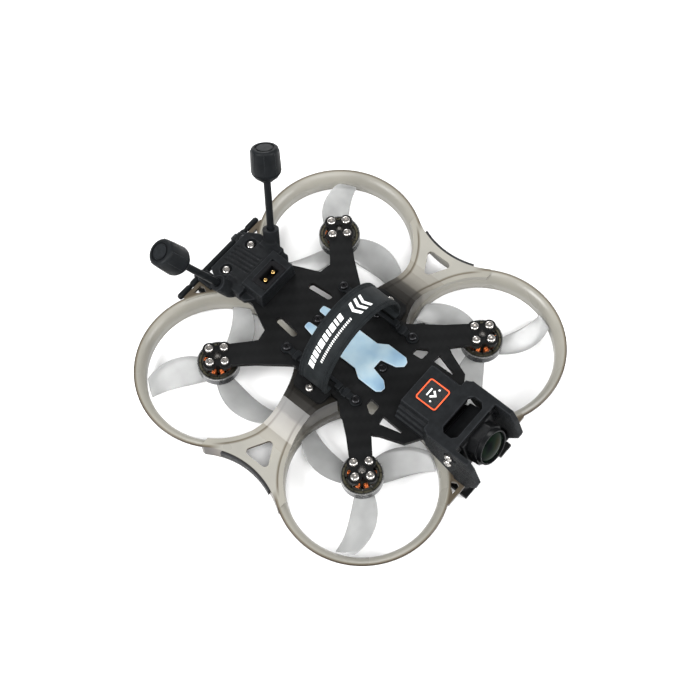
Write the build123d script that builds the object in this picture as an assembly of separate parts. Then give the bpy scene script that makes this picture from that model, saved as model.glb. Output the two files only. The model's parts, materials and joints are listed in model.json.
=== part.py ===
from build123d import *
import math
import os

# Ducted pusher quadcopter with 2.5 inch propellers, millimetres.
# +Z is up, the camera looks along -Y, the aircraft's own left is +X.
# The origin lies on the belly, under the centre of the four motors.

# ---- driving dimensions ------------------------------------------------------
motor_half = 40.2            # motor axis to each centre plane
plate_top = 24.5
plate_thick = 2.5
plate_under = plate_top - plate_thick
belly_thick = 2.0
stack_pitch = 25.5           # square of the board screws, turned 45 degrees
stack_reach = stack_pitch / math.sqrt(2)
m2_clear_r = 1.1
m2_shank_r = 1.0
m2_head_r = 1.9
m2_head_h = 1.2
m2_hex_r = 0.75
free_gap = 0.2

# ducts
duct_bottom = 3.0
duct_top = 12.2
duct_throat_r = 32.5
duct_wall = 1.2
duct_lip_r = 37.3
web_edge_x = 65.7            # deepest point of the concave outer edge
web_thick = 1.6
tab_x = 26.5                 # duct screw in the side tab
tab_inner_x = 22.8
web_hole_in = 50.2
web_hole_out = 62.6
web_hole_half = 7.0
lug_x = 12.3
lug_y = 72.9
lug_thick = 2.0

# motors, hung under the arm ends
motor_screw_r = 4.5          # M2 screws on a 9 mm circle
base_thick = 2.5
base_r = 6.3
bell_r = 9.1
bell_wall = 0.8
bell_rim = 18.5
bell_shoulder = 13.6
bell_floor = 10.6
magnet_thick = 0.9
magnet_count = 12
stator_r = 7.1
stator_bottom = 13.9
stator_top = 17.9
stator_slots = 9
bearing_r = 2.0
bearing_h = 1.6
shaft_r = 0.75
shaft_fit = 0.03

# propellers
prop_r = 31.6
prop_hub_r = 4.6
blade_root_r = 3.4
prop_hub_top = bell_floor
prop_hub_bottom = 5.6
prop_mid = 7.9
prop_screw_x = 2.5

# battery strap
strap_width = 15.0
strap_half = 25.0
strap_rise = 29.0
strap_thick = 1.6
rail_x = 18.8
rail_ends = (-18.9, 19.3)

# camera
pivot_y = -65.7
pivot_z = 25.5
camera_pitch = 20.0
camera_down = 20.0
camera_up = 10.0
camera_half = 9.5
lock_reach = 5.9
bezel_swing = 10.5           # hollow under the roof that the bezel turns in
cheek_inner = 13.0
cheek_outer = 15.5
cage_top = 36.9
cage_skin = 2.2

# rear
plug_y = 45.4
plug_top = 32.6
mount_screw_x = 8.0
mount_screw_y = 63.6
socket_tip = Vector(17.3, 59.7, plate_top + 8.8)
antenna_dir = Vector(0.384, 0.358, 0.851).normalized()
socket_length = 15.0
stem_depth = 8.8             # how far the stem sits inside its socket
rod_y = 77.7
rod_z = 9.0
rod_half = 26.3
clip_x = 12.3
clip_width = 3.2

# name: side of X, side of Y, spin seen from above (+1 counter-clockwise), blade heading
motors = {
    "rear_left": (1, 1, 1, 34.5),
    "front_left": (1, -1, -1, -26.0),
    "front_right": (-1, -1, 1, -152.0),
    "rear_right": (-1, 1, -1, -96.0),
}

nodes = {}


# ---- helpers -----------------------------------------------------------------
def slab(outline, bottom, height):
    """A flat outline at a height, extruded upwards."""
    return extrude(Pos(0, 0, bottom) * outline, height)


def rod(x, y, bottom, top, radius):
    """A vertical cylinder between two heights."""
    return Pos(x, y, (bottom + top) / 2) * Cylinder(radius, top - bottom)


def block(x_range, y_range, z_range):
    """A box given by its limits."""
    size = [r[1] - r[0] for r in (x_range, y_range, z_range)]
    middle = [(r[1] + r[0]) / 2 for r in (x_range, y_range, z_range)]
    return Pos(*middle) * Box(*size)


def polygon(points):
    """A flat face through corner points, in the XY plane."""
    return make_face(Polyline(*points, close=True).edges())


def round_corners(sketch, spots, radius):
    """Fillet the corners of a flat outline that lie nearest to the spots."""
    chosen = []
    for x, y in spots:
        nearest = min(sketch.vertices(), key=lambda v: (v.X - x) ** 2 + (v.Y - y) ** 2)
        if nearest not in chosen:
            chosen.append(nearest)
    return fillet(chosen, radius)


def both_sides(shape):
    """A shape and its mirror image across the aircraft's centre plane."""
    return [shape, mirror(shape, Plane.YZ)]


def side_profile(points, half_width):
    """An outline in the YZ plane, extruded both ways along X."""
    outline = make_face(Polyline(*[(0, y, z) for y, z in points], close=True).edges())
    return extrude(outline, half_width, dir=(1, 0, 0), both=True)


def button_screw(length):
    """An M2 button screw, head above the origin and shank below."""
    head = Cylinder(m2_head_r, m2_head_h, align=(Align.CENTER, Align.CENTER, Align.MIN))
    head = fillet(head.edges().filter_by(GeomType.CIRCLE).sort_by(Axis.Z)[-1], m2_head_h * 0.7)
    shank = Cylinder(m2_shank_r, length, align=(Align.CENTER, Align.CENTER, Align.MAX))
    hexagon = RegularPolygon(m2_hex_r, 6)
    socket = extrude(Pos(0, 0, m2_head_h * 0.35) * hexagon, m2_head_h)
    return head + shank - socket


def tube_path(points, radius, bend):
    """A round cord along straight stretches joined by bends."""
    path = FilletPolyline(*points, radius=bend)
    start = Plane(origin=path @ 0, z_dir=path % 0)
    return sweep(start * Circle(radius), path=path)


# ---- top plate ---------------------------------------------------------------
def arm_direction(side_x, side_y):
    return math.degrees(math.atan2(side_y, side_x))


def arm_outline(side_x, side_y):
    """A tapered arm with four round ears for the motor screws."""
    reach = motor_half * math.sqrt(2)
    ear_r = 2.9
    ear_step = motor_screw_r / math.sqrt(2)
    arm = polygon([(18, -8.2), (41, -5.3), (reach + ear_step, -4.5),
                   (reach + ear_step, 4.5), (41, 5.3), (18, 8.2)])
    for along in (-ear_step, ear_step):
        for across in (-ear_step, ear_step):
            arm += Pos(reach + along, across) * Circle(ear_r)
    arm -= Pos(reach + ear_step + ear_r, 0) * Circle(2.0)
    return Rot(0, 0, arm_direction(side_x, side_y)) * arm


def plate_core():
    """Centre of the plate with its front and rear tongues and side tabs."""
    right_half = [(0, -54.6), (11.5, -54.6), (13.4, -50.8), (20.3, -46.4), (24.2, -36.2),
                  (25.6, -34.0), (27.9, -24.0), (27.9, -18.0), (22.5, -12.8), (22.5, -8.6),
                  (29.4, -8.0), (29.4, 7.0), (23.2, 9.0), (22.5, 12.8), (27.9, 20.0),
                  (24.0, 31.4), (18.2, 32.4), (12.4, 44.8), (12.0, 67.5), (0, 67.5)]
    left_half = [(-x, y) for x, y in reversed(right_half[1:-1])]
    return polygon(right_half + left_half)


def plate_slots():
    """Lightening slots of one side."""
    rear = Pos(11.1, 26.1) * Rot(0, 0, 96) * SlotOverall(11.6, 3.2)
    front = polygon([(16.4, -31.9), (20.4, -32.6), (17.6, -42.6), (16.8, -42.4)])
    front = fillet(front.vertices(), 0.35)
    lobe = polygon([(13.4, -22.8), (16.8, -23.0), (20.2, -28.2), (14.0, -28.0)])
    lobe = fillet(lobe.vertices(), 1.1)
    return [rear, front, lobe]


def motor_holes(x, y, bottom, top, radius):
    """Four holes on the motor's screw circle and one over its shaft."""
    cutters = [rod(x, y, bottom, top, shaft_r + 1.0)]
    for turn in range(4):
        angle = math.radians(90 * turn)
        hx = x + motor_screw_r * math.cos(angle)
        hy = y + motor_screw_r * math.sin(angle)
        cutters.append(rod(hx, hy, bottom, top, radius))
    return cutters


def stack_spots():
    return [(stack_reach, 0), (0, stack_reach), (-stack_reach, 0), (0, -stack_reach)]


def top_plate():
    outline = plate_core()
    for side_x, side_y, _, _ in motors.values():
        outline += arm_outline(side_x, side_y)
    for x in (-1, 1):
        outline = round_corners(outline, [(x * 22.5, -12.8), (x * 22.5, 12.8)], 2.0)
        outline = round_corners(outline, [(x * 29.4, -8.0), (x * 29.4, 7.0)], 2.5)
    plate = slab(outline, plate_under, plate_thick)
    for slot in plate_slots():
        for half in both_sides(slot):
            plate -= slab(half, plate_under - 1, plate_thick + 2)
    for side_x, side_y, _, _ in motors.values():
        for cutter in motor_holes(side_x * motor_half, side_y * motor_half,
                                  plate_under - 1, plate_top + 1, m2_clear_r):
            plate -= cutter
    holes = stack_spots() + [(tab_x, 0), (-tab_x, 0)]
    holes += [(mount_screw_x, mount_screw_y), (-mount_screw_x, mount_screw_y)]
    holes += [(sx * rail_x, y) for sx in (-1, 1) for y in rail_ends]
    for x, y in holes:
        plate -= rod(x, y, plate_under - 1, plate_top + 1, m2_clear_r)
    plate -= block((-5.6, 5.6), (plug_y - 3, plug_y + 3), (plate_under - 1, plate_top + 1))
    return plate


# ---- belly plate and posts ---------------------------------------------------
def belly_plate():
    core = polygon([(0, -27), (27, 0), (0, 27), (-27, 0)])
    spine = Rectangle(15, 2 * (lug_y + 4))
    outline = core + spine
    for y in (-1, 1):
        outline += polygon([(-7.5, y * 58), (-15.5, y * 67), (-15.5, y * 76.9),
                            (15.5, y * 76.9), (15.5, y * 67), (7.5, y * 58)])
        outline -= polygon([(-5.0, y * 63), (-8.6, y * 67), (-8.6, y * 80),
                            (8.6, y * 80), (8.6, y * 67), (5.0, y * 63)])
    plate = slab(outline, 0, belly_thick)
    for x, y in stack_spots() + lug_spots():
        plate -= rod(x, y, -1, belly_thick + 1, m2_clear_r)
    for y in (-44, 44):
        plate -= slab(Pos(0, y) * Rot(0, 0, 90) * SlotOverall(18, 7), -1, belly_thick + 2)
    return plate


def lug_spots():
    return [(x, y) for x in (-lug_x, lug_x) for y in (-lug_y, lug_y)]


def posts():
    """Threaded posts: four through the boards, four under the duct lugs."""
    made = []
    for x, y in stack_spots():
        made.append(rod(x, y, belly_thick, plate_under, 1.75) - rod(x, y, 0, 30, m2_shank_r))
    for x, y in lug_spots():
        post = rod(x, y, belly_thick, duct_top - lug_thick, 2.2)
        made.append(post - rod(x, y, 0, 30, m2_shank_r))
    return made


# ---- ducts -------------------------------------------------------------------
def ring(x, y):
    """A bell-mouthed ring, revolved from its wall section."""
    outer = duct_throat_r + duct_wall
    inner_line = Line((duct_throat_r, duct_bottom), (duct_throat_r, 6.2))
    mouth = ThreePointArc((duct_throat_r, 6.2), (33.6, 10.2), (36.9, duct_top))
    lip = Polyline((36.9, duct_top), (duct_lip_r, 11.9), (duct_lip_r, 11.2))
    under = ThreePointArc((duct_lip_r, 11.2), (34.8, 9.3), (outer, 5.4))
    outer_line = Polyline((outer, 5.4), (outer, duct_bottom), (duct_throat_r, duct_bottom))
    edges = [inner_line.edge(), mouth.edge()] + list(lip.edges())
    edges += [under.edge()] + list(outer_line.edges())
    section = Plane.XZ * make_face(edges)
    return Pos(x, y, 0) * revolve(section, Axis.Z, 360)


def web_region():
    """Plan of the web: between the two rings, up to the concave outer edge."""
    edge_r = web_edge_radius()
    region = Pos((tab_inner_x + 72) / 2, 0) * Rectangle(72 - tab_inner_x, 44)
    region -= Pos(web_edge_x + edge_r, 0) * Circle(edge_r)
    for y in (-motor_half, motor_half):
        region -= Pos(motor_half, y) * Circle(duct_throat_r + duct_wall / 2)
    return max(region.faces(), key=lambda face: face.area)


def web_band(thick):
    """The sloping slab of the web, from the side tab down to the ring tops."""
    high = plate_under
    low = duct_top
    upper = [(20, high), (31.5, high), (35, high - 0.9), (48, low + 1.4), (53, low), (74, low)]
    lower = [(x, z - thick) for x, z in reversed(upper)]
    outline = make_face(Polyline(*[(x, 0, z) for x, z in upper + lower], close=True).edges())
    return extrude(outline, 30, dir=(0, 1, 0), both=True)


def web():
    """Web with its skirts along the rings, an outer wall and a rounded hole."""
    region = web_region()
    deep = slab(region, duct_bottom + 0.2, plate_under) & web_band(plate_under)
    under = region
    for y in (-motor_half, motor_half):
        under -= Pos(motor_half, y) * Circle(duct_throat_r + duct_wall + 1.1)
    under -= Pos(web_edge_x + web_edge_radius(), 0) * Circle(web_edge_radius() + 1.6)
    under = max(under.faces(), key=lambda face: face.area)
    cavity = slab(under, 0, plate_under) & (Pos(0, 0, -web_thick) * web_band(plate_under))
    hole = polygon([(web_hole_in, 0), (web_hole_out, web_hole_half), (web_hole_out, -web_hole_half)])
    hole = fillet(hole.vertices(), 1.7)
    return deep - cavity - slab(hole, 0, 30) - rod(tab_x, 0, 0, 30, m2_shank_r)


def web_edge_radius():
    """Radius of the concave edge, tangent to both ring lips."""
    gap = web_edge_x - motor_half
    return (gap ** 2 + motor_half ** 2 - duct_lip_r ** 2) / (2 * (duct_lip_r - gap))


def lug(side_y):
    """A braced triangle from a ring to its screw, with an open middle."""
    outline = polygon([(16.5, 64.0), (10.4, 69.0), (9.8, 73.6), (11.4, 75.0),
                       (15.0, 75.0), (25.5, 75.0), (27.0, 71.5), (18.0, 66.0)])
    outline -= polygon([(17.4, 68.6), (15.8, 71.6), (16.6, 73.2), (21.0, 73.2)])
    outline -= Pos(lug_x, lug_y) * Circle(m2_shank_r)
    made = slab(outline, duct_top - lug_thick, lug_thick)
    made -= rod(motor_half, motor_half, 0, 30, 35.6)
    return made if side_y > 0 else mirror(made, Plane.XZ)


def duct_half():
    """Two rings, their web and both lugs as one moulding, on the left side."""
    half = web()
    for y in (-1, 1):
        half += ring(motor_half, y * motor_half)
        half += lug(y)
    return half


def edge_strip():
    """Soft strip that covers the concave outer edge of a web."""
    outer_r = web_edge_radius() - 0.1
    strip = rod(web_edge_x + web_edge_radius(), 0, 7.6, duct_top - 0.1, outer_r)
    strip -= rod(web_edge_x + web_edge_radius(), 0, 0, 30, outer_r - 1.1)
    return strip & block((60, 72), (-13.5, 13.5), (0, 20))


# ---- motors ------------------------------------------------------------------
def motor_base(x, y):
    """Flange with a cross of screw bosses and the bearing tube below."""
    flange = rod(x, y, plate_under - base_thick, plate_under, 3.4)
    for turn in range(4):
        angle = math.radians(90 * turn)
        boss_x = x + motor_screw_r * math.cos(angle)
        boss_y = y + motor_screw_r * math.sin(angle)
        flange += rod(boss_x, boss_y, plate_under - base_thick, plate_under, base_r - motor_screw_r)
    tube = rod(x, y, stator_bottom - 0.9, plate_under - base_thick, 2.7)
    made = flange + tube
    made -= rod(x, y, 0, 30, shaft_r + 0.35)
    made -= rod(x, y, stator_bottom - 1.0, stator_bottom - 0.9 + bearing_h, bearing_r)
    made -= rod(x, y, plate_under - bearing_h, plate_under + 1, bearing_r)
    for cutter in motor_holes(x, y, plate_under - base_thick - 1, plate_under + 1, m2_shank_r)[1:]:
        made -= cutter
    return made


def bearings(x, y):
    made = []
    for bottom in (stator_bottom - 0.9, plate_under - bearing_h):
        race = rod(x, y, bottom, bottom + bearing_h, bearing_r)
        made.append(race - rod(x, y, 0, 30, shaft_r + shaft_fit))
    return made


def stator(x, y):
    """Laminated core: a ring with teeth and wide tooth tips."""
    core = Circle(3.7)
    for slot in range(stator_slots):
        turn = 360 / stator_slots * slot
        core += Rot(0, 0, turn) * Pos(5.0, 0) * Rectangle(3.8, 1.15)
        tip = (Circle(stator_r) - Circle(stator_r - 0.8)) & (Pos(stator_r, 0) * Rectangle(3, 4.0))
        core += Rot(0, 0, turn) * tip
    core -= Circle(2.72)
    return Pos(x, y, 0) * slab(core, stator_bottom, stator_top - stator_bottom)


def windings(x, y):
    """One wire coil round each tooth."""
    coil_out = Box(2.1, 1.95, stator_top - stator_bottom + 1.7)
    coil_in = Box(3.0, 1.17, stator_top - stator_bottom + 0.04)
    coil = fillet(coil_out.edges().filter_by(Axis.X), 0.45) - coil_in
    middle = (stator_top + stator_bottom) / 2
    made = []
    for slot in range(stator_slots):
        turn = Rot(0, 0, 360 / stator_slots * slot)
        made.append(Pos(x, y, middle) * turn * Pos(5.15, 0, 0) * coil)
    return made


def bell(x, y):
    """Rotor can, open towards the arm, with vents round the hub."""
    inner = bell_r - bell_wall
    shell = rod(0, 0, bell_shoulder, bell_rim, bell_r)
    cone = loft([Pos(0, 0, bell_floor) * Circle(6.6), Pos(0, 0, bell_shoulder) * Circle(bell_r)])
    hollow = rod(0, 0, bell_shoulder + 0.4, bell_rim + 1, inner)
    hollow += loft([Pos(0, 0, bell_floor + 1.4) * Circle(5.2),
                    Pos(0, 0, bell_shoulder + 0.4) * Circle(inner)])
    made = shell + cone - hollow
    vent = Pos(4.6, 0) * Rot(0, 0, 90) * SlotOverall(2.8, 1.3)
    for turn in range(6):
        made -= Rot(0, 0, 60 * turn + 30) * slab(vent, 0, bell_floor + 2)
    made -= rod(0, 0, 0, 30, shaft_r)
    for side in (-1, 1):
        made -= rod(side * prop_screw_x, 0, 0, 30, m2_shank_r)
    return Pos(x, y, 0) * made


def magnets(x, y):
    """Ring of separate curved magnets inside the can."""
    outer = bell_r - bell_wall
    band = Circle(outer) - Circle(outer - magnet_thick)
    made = []
    step = 360 / magnet_count
    for index in range(magnet_count):
        wedge = Rot(0, 0, step * index) * Pos(outer, 0) * Rectangle(4, 3.7)
        made.append(Pos(x, y, 0) * slab(band & wedge, bell_rim - 4.4, 4.2))
    return made


def shaft(x, y):
    return rod(x, y, bell_floor - 4.2, plate_under + 1.6, shaft_r)


# ---- propellers --------------------------------------------------------------
def blade_section(radius):
    """Cross-section of a blade at a radius: leading edge raised and on the +Y side."""
    out = (radius - blade_root_r) / (prop_r - blade_root_r)
    chord = 5.8 + 22.4 * out - 19.6 * out ** 2
    lead = 18.0 - 2.0 * out - 16.8 * out ** 2
    pitch = math.radians(30.0 - 15.0 * out)
    thick = 1.5 - 0.7 * out
    # across the chord from the trailing edge: share of chord, share of thickness
    profile = [(-0.5, 0.12), (-0.22, 0.42), (0.12, 0.5), (0.4, 0.34), (0.5, 0.12)]
    loop = profile + [(share, -height) for share, height in reversed(profile)]
    points = []
    for share, height in loop:
        across = share * chord
        up = across * math.tan(pitch) + height * thick
        points.append((0, across, up))
    face = make_face(Polyline(*points, close=True).edges())
    return Rot(0, 0, lead) * Pos(radius, 0, 0) * face


def blade():
    """One blade along +X, swept so that its tip trails a counter-clockwise turn."""
    steps = 8
    span = prop_r + 1.0 - blade_root_r
    return loft([blade_section(blade_root_r + span * i / steps) for i in range(steps + 1)],
                ruled=True)


def propeller(x, y, spin, heading):
    made = Pos(0, 0, (prop_hub_top + prop_hub_bottom) / 2 - prop_mid) * Cylinder(
        prop_hub_r, prop_hub_top - prop_hub_bottom)
    one = blade()
    if spin < 0:
        one = mirror(one, Plane.XZ)
    for turn in range(3):
        made += Rot(0, 0, heading + 120 * turn) * one
    made = Pos(0, 0, prop_mid) * made
    made = made & rod(0, 0, 0, prop_hub_top, prop_r)
    made -= rod(0, 0, 0, 30, shaft_r)
    for side in (-1, 1):
        made -= rod(side * prop_screw_x, 0, 0, 30, m2_shank_r)
    return Pos(x, y, 0) * made


def propeller_screws(x, y):
    made = []
    for side in (-1, 1):
        place = Pos(x + side * prop_screw_x, y, prop_hub_bottom) * Rot(180, 0, 0)
        made.append(place * button_screw(6.0))
    return made


# ---- battery strap and pad ---------------------------------------------------
def battery_pad():
    """Thin claw-shaped grip pad, notched round the front and rear board screws."""
    half = [(0, 14.0), (3.0, 14.0), (3.4, 20.3), (6.4, 20.3), (7.4, 15.0), (7.4, -8.9),
            (10.1, -13.0), (10.1, -22.6), (8.6, -24.4), (6.4, -24.6), (4.0, -22.0),
            (2.4, -15.0), (0, -15.0)]
    outline = polygon(half + [(-x, y) for x, y in reversed(half[1:-1])])
    outline = fillet(outline.vertices().filter_by(lambda v: abs(v.Y + 15) > 0.1
                                                  and abs(v.Y - 14) > 0.1), 0.8)
    return slab(outline, plate_top, 0.8)


def strap_section(half, rise, foot, sole):
    """Half ellipse standing on two short straight legs."""
    arch = Pos(0, foot) * Ellipse(half, rise - foot)
    arch = arch & (Pos(0, foot + rise / 2) * Rectangle(2 * half + 2, rise))
    return arch + Pos(0, (foot + sole) / 2) * Rectangle(2 * half, foot - sole)


def battery_strap():
    """Empty strap, standing as an arch with its ends folded in on the deck."""
    foot = 3.0
    outer = strap_section(strap_half, strap_rise, foot, free_gap)
    inner = strap_section(strap_half - strap_thick, strap_rise - strap_thick, foot, -1.0)
    band = extrude(Plane.XZ * (outer - inner), strap_width / 2, both=True)
    hem = block((strap_half - 4.4, strap_half), (-strap_width / 2, strap_width / 2),
                (free_gap, strap_thick + free_gap))
    band += hem + mirror(hem, Plane.YZ)
    band -= rod(tab_x, 0, -1, 4, 2.4) + rod(-tab_x, 0, -1, 4, 2.4)
    return Pos(0, 0, plate_top) * band


def strap_rail():
    """Rail along the left of the deck that the strap passes through."""
    front, rear = rail_ends
    bar = block((rail_x - 1.5, rail_x + 1.5), (front, rear), (0, 1.5))
    bar = bar - block((rail_x - 3, rail_x + 3), (-8.3, 8.3), (-1, 3))
    bridge = block((rail_x - 1.5, rail_x + 0.1), (-10.6, 10.6), (2.2, 3.8))
    for y in (-1, 1):
        bridge += block((rail_x - 1.5, rail_x + 1.5), (min(y * 8.3, y * 10.8),
                                                       max(y * 8.3, y * 10.8)), (0, 3.8))
        bar += block((rail_x - 2.1, rail_x + 2.1), (min(y * 12.2, y * 14.6),
                                                    max(y * 12.2, y * 14.6)), (0, 2.0))
    for y in rail_ends:
        bar += rod(rail_x, y, 0, 1.6, 2.5)
    made = bar + bridge
    for y in rail_ends:
        made -= rod(rail_x, y, -1, 5, m2_clear_r)
    return Pos(0, 0, plate_top) * made


# ---- boards and wiring -------------------------------------------------------
def flight_board():
    """Square board turned 45 degrees, with its processor, drivers and sockets."""
    board = Rot(0, 0, 45) * RectangleRounded(33, 33, 2)
    made = slab(board, 7.0, 1.4)
    for x, y in stack_spots():
        made -= rod(x, y, 0, 30, 1.95)
    parts = [(0, 0, 7.0, 7.0, 1.0, 45)]
    for turn in range(4):
        angle = math.radians(45 + 90 * turn)
        for off in (-4.2, 4.2):
            px = 11.4 * math.cos(angle) - off * math.sin(angle)
            py = 11.4 * math.sin(angle) + off * math.cos(angle)
            parts.append((px, py, 3.3, 3.3, 0.9, 45))
    for x, y, width, depth, height, turn in parts:
        chip = Pos(x, y) * Rot(0, 0, turn) * Rectangle(width, depth)
        made += slab(chip, 8.4, height)
    made += block((16.3, 20.0), (-4.2, -1.9), (8.4, 10.4)) & rod(0, 0, 0, 30, 21.0)
    return made


def video_unit():
    """Finned video transmitter above the flight board."""
    body = Rot(0, 0, 45) * RectangleRounded(30, 30, 3)
    made = slab(body, 12.6, 6.0)
    for x, y in stack_spots():
        made -= rod(x, y, 0, 30, 2.1)
    for step in range(-3, 4):
        made -= Pos(0, 0, 18.4) * Rot(0, 0, 45) * Pos(step * 3.4, 0, 0) * Box(1.6, 22, 1.8)
    return made


def capacitor():
    can = Pos(0, -31.0, 16.6) * Rot(0, 90, 0) * Cylinder(4.0, 13)
    groove = Pos(-4.6, -31.0, 16.6) * Rot(0, 90, 0) * (Cylinder(4.2, 0.8) - Cylinder(3.7, 0.8))
    return can - groove


def motor_wires():
    """Three wires from every motor, along the arm and down to the board."""
    reach = motor_half * math.sqrt(2)
    made = []
    for side_x, side_y, _, _ in motors.values():
        turn = Rot(0, 0, arm_direction(side_x, side_y))
        for lane in (-1.3, 0, 1.3):
            points = [(reach - 7.8, lane, 21.2), (17.6, lane, 21.2), (15.6, lane, 8.95)]
            made.append(turn * tube_path(points, 0.5, 2.5))
    return made


def battery_leads():
    made = []
    for x in (-1, 1):
        points = [(x * 2.5, plug_y, plate_under + 1.3), (x * 2.5, plug_y, 16.0),
                  (x * 3.6, 24.0, 11.0), (x * 3.6, 19.4, 9.6)]
        made.append(tube_path(points, 1.1, 2.0))
    return made


# ---- rear mount and antennas -------------------------------------------------
def along_antenna(start, length, shape_radius, top_radius=None):
    """A round piece along the left antenna's line, from a distance past the socket tip."""
    base = Plane(origin=socket_tip + antenna_dir * start, z_dir=antenna_dir)
    if top_radius is None:
        return base * Cylinder(shape_radius, length, align=(Align.CENTER, Align.CENTER, Align.MIN))
    return base * Cone(shape_radius, top_radius, length,
                       align=(Align.CENTER, Align.CENTER, Align.MIN))


def rear_mount():
    """Soft printed mount over the rear tongue: plug block, ribs, sockets and clips."""
    top = plate_top
    plug_block = loft([Pos(0, 46.2, top) * Rectangle(21.6, 12.4),
                       Pos(0, 46.4, plug_top) * Rectangle(20.4, 11.2)])
    saddle = side_profile([(50, top), (50, top + 6.6), (56, top + 5.2), (69.3, top + 1.9),
                           (69.3, top)], 11.0)
    wings = slab(polygon([(-10.5, 44), (-14.4, 47.5), (-14.8, 64), (-11.5, 69.3),
                          (11.5, 69.3), (14.8, 64), (14.4, 47.5), (10.5, 44)]), top, 2.6)
    made = plug_block + saddle + wings
    for step in range(-2, 3):
        made -= Pos(step * 2.1, 61.0, top + 4.7) * Rot(-14, 0, 0) * Box(1.0, 14.5, 2.4)
    for x in (-1, 1):
        made -= rod(x * mount_screw_x, mount_screw_y, top + 1.4, top + 12, 2.7)
        made -= rod(x * mount_screw_x, mount_screw_y, top - 1, top + 12, m2_clear_r)
    made += block((-11.4, 11.4), (67.9, 69.3), (duct_top + 0.2, top + 0.2))
    for x in (-1, 1):
        made += block((min(x * 9.4, x * 15.4), max(x * 9.4, x * 15.4)), (67.9, 75.4),
                      (duct_top + 0.2, duct_top + 2.6))
        clip = Pos(x * clip_x, rod_y, rod_z) * Rot(0, 90, 0) * Cylinder(2.4, clip_width)
        stem = block((x * clip_x - clip_width / 2, x * clip_x + clip_width / 2),
                     (rod_y - 2.6, rod_y - 0.4), (rod_z, duct_top + 2.6))
        made += clip + stem
    made -= Pos(0, rod_y, rod_z) * Rot(0, 90, 0) * Cylinder(1.55, 40)
    socket = along_antenna(-socket_length, socket_length, 3.6)
    bridge = block((9.6, 14.6), (50, 60), (top, top + 5.4))
    for piece in both_sides(socket + bridge):
        made += piece
    made -= block((-40, 40), (30, 67.7), (-10, top))
    made -= block((-6.9, 6.9), (plug_y - 4.1, plug_y + 4.1), (top - 1, plug_top + 1))
    for piece in both_sides(along_antenna(-stem_depth - 0.2, socket_length, 1.75)):
        made -= piece
    for x, y in lug_spots():
        made -= rod(x, y, 0, 20, m2_clear_r)
    return made


def plug_housing():
    """Upward-facing two-pin battery socket."""
    outline = polygon([(-6.8, -4.0), (6.8, -4.0), (6.8, 2.4), (5.2, 4.0), (-6.8, 4.0)])
    body = slab(outline, 0, plug_top - plate_top)
    body -= slab(RectangleRounded(8.6, 4.4, 0.6), 1.6, 20)
    made = Pos(0, plug_y, plate_top) * body
    for x in (-2.5, 2.5):
        made -= rod(x, plug_y, 0, 60, 1.0)
    return made


def plug_pins():
    made = []
    for x in (-2.5, 2.5):
        pin = rod(x, plug_y, plate_under + 1.4, plug_top - 0.9, 1.0)
        made.append(fillet(pin.edges().filter_by(GeomType.CIRCLE).sort_by(Axis.Z)[-1], 0.4))
    return made


def antenna():
    """Left antenna: coaxial stem in its socket, and a tapered cap."""
    stem = along_antenna(-stem_depth, stem_depth + 24.0, 1.6)
    collar = along_antenna(23.6, 3.2, 2.2, 6.0)
    cap = along_antenna(26.8, 10.6, 6.6, 5.9)
    crown = along_antenna(37.4, 1.6, 5.9, 5.2)
    made = stem + collar + cap + crown
    made -= Plane(origin=socket_tip + antenna_dir * 38.2, z_dir=antenna_dir) * (
        Cylinder(4.3, 4) - Cylinder(3.4, 4))
    return made


def receiver_rod():
    """Dipole antenna: two thin arms in a thicker sleeve."""
    place = Pos(0, rod_y, rod_z) * Rot(0, 90, 0)
    return place * (Cylinder(1.1, 2 * rod_half) + Cylinder(1.5, 36))


# ---- camera and its cage -----------------------------------------------------
def cage_cheek():
    """Left cheek of the cage, with the pivot hole and the lock screw's arc."""
    outline = [(-53.5, cage_top), (-74.4, cage_top), (-77.2, 33.0), (-81.0, 24.0), (-80.6, 20.4),
               (-77.2, 14.9), (-75.6, duct_top + 0.2), (-69.4, duct_top + 0.2), (-69.0, 15.0),
               (-64.0, 17.6), (-57.0, 21.4), (-53.5, 24.7)]
    face = make_face(Polyline(*[(cheek_inner, y, z) for y, z in outline], close=True).edges())
    made = extrude(face, cheek_outer - cheek_inner, dir=(1, 0, 0))
    return made


def cage_cutters():
    """Pivot holes and the arcs of the lock screws, through both cheeks."""
    hole = Pos(0, pivot_y, pivot_z) * Rot(0, 90, 0) * Cylinder(m2_shank_r + 0.06, 60)
    arc = CenterArc((0, 0), lock_reach, 90 - camera_down - 5, camera_up + camera_down + 10)
    arc_slot = extrude(SlotArc(arc, 2 * m2_clear_r), 30, both=True)
    frame = Plane(origin=(0, pivot_y, pivot_z), x_dir=(0, -1, 0), z_dir=(-1, 0, 0))
    return [hole, frame * arc_slot]


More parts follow.
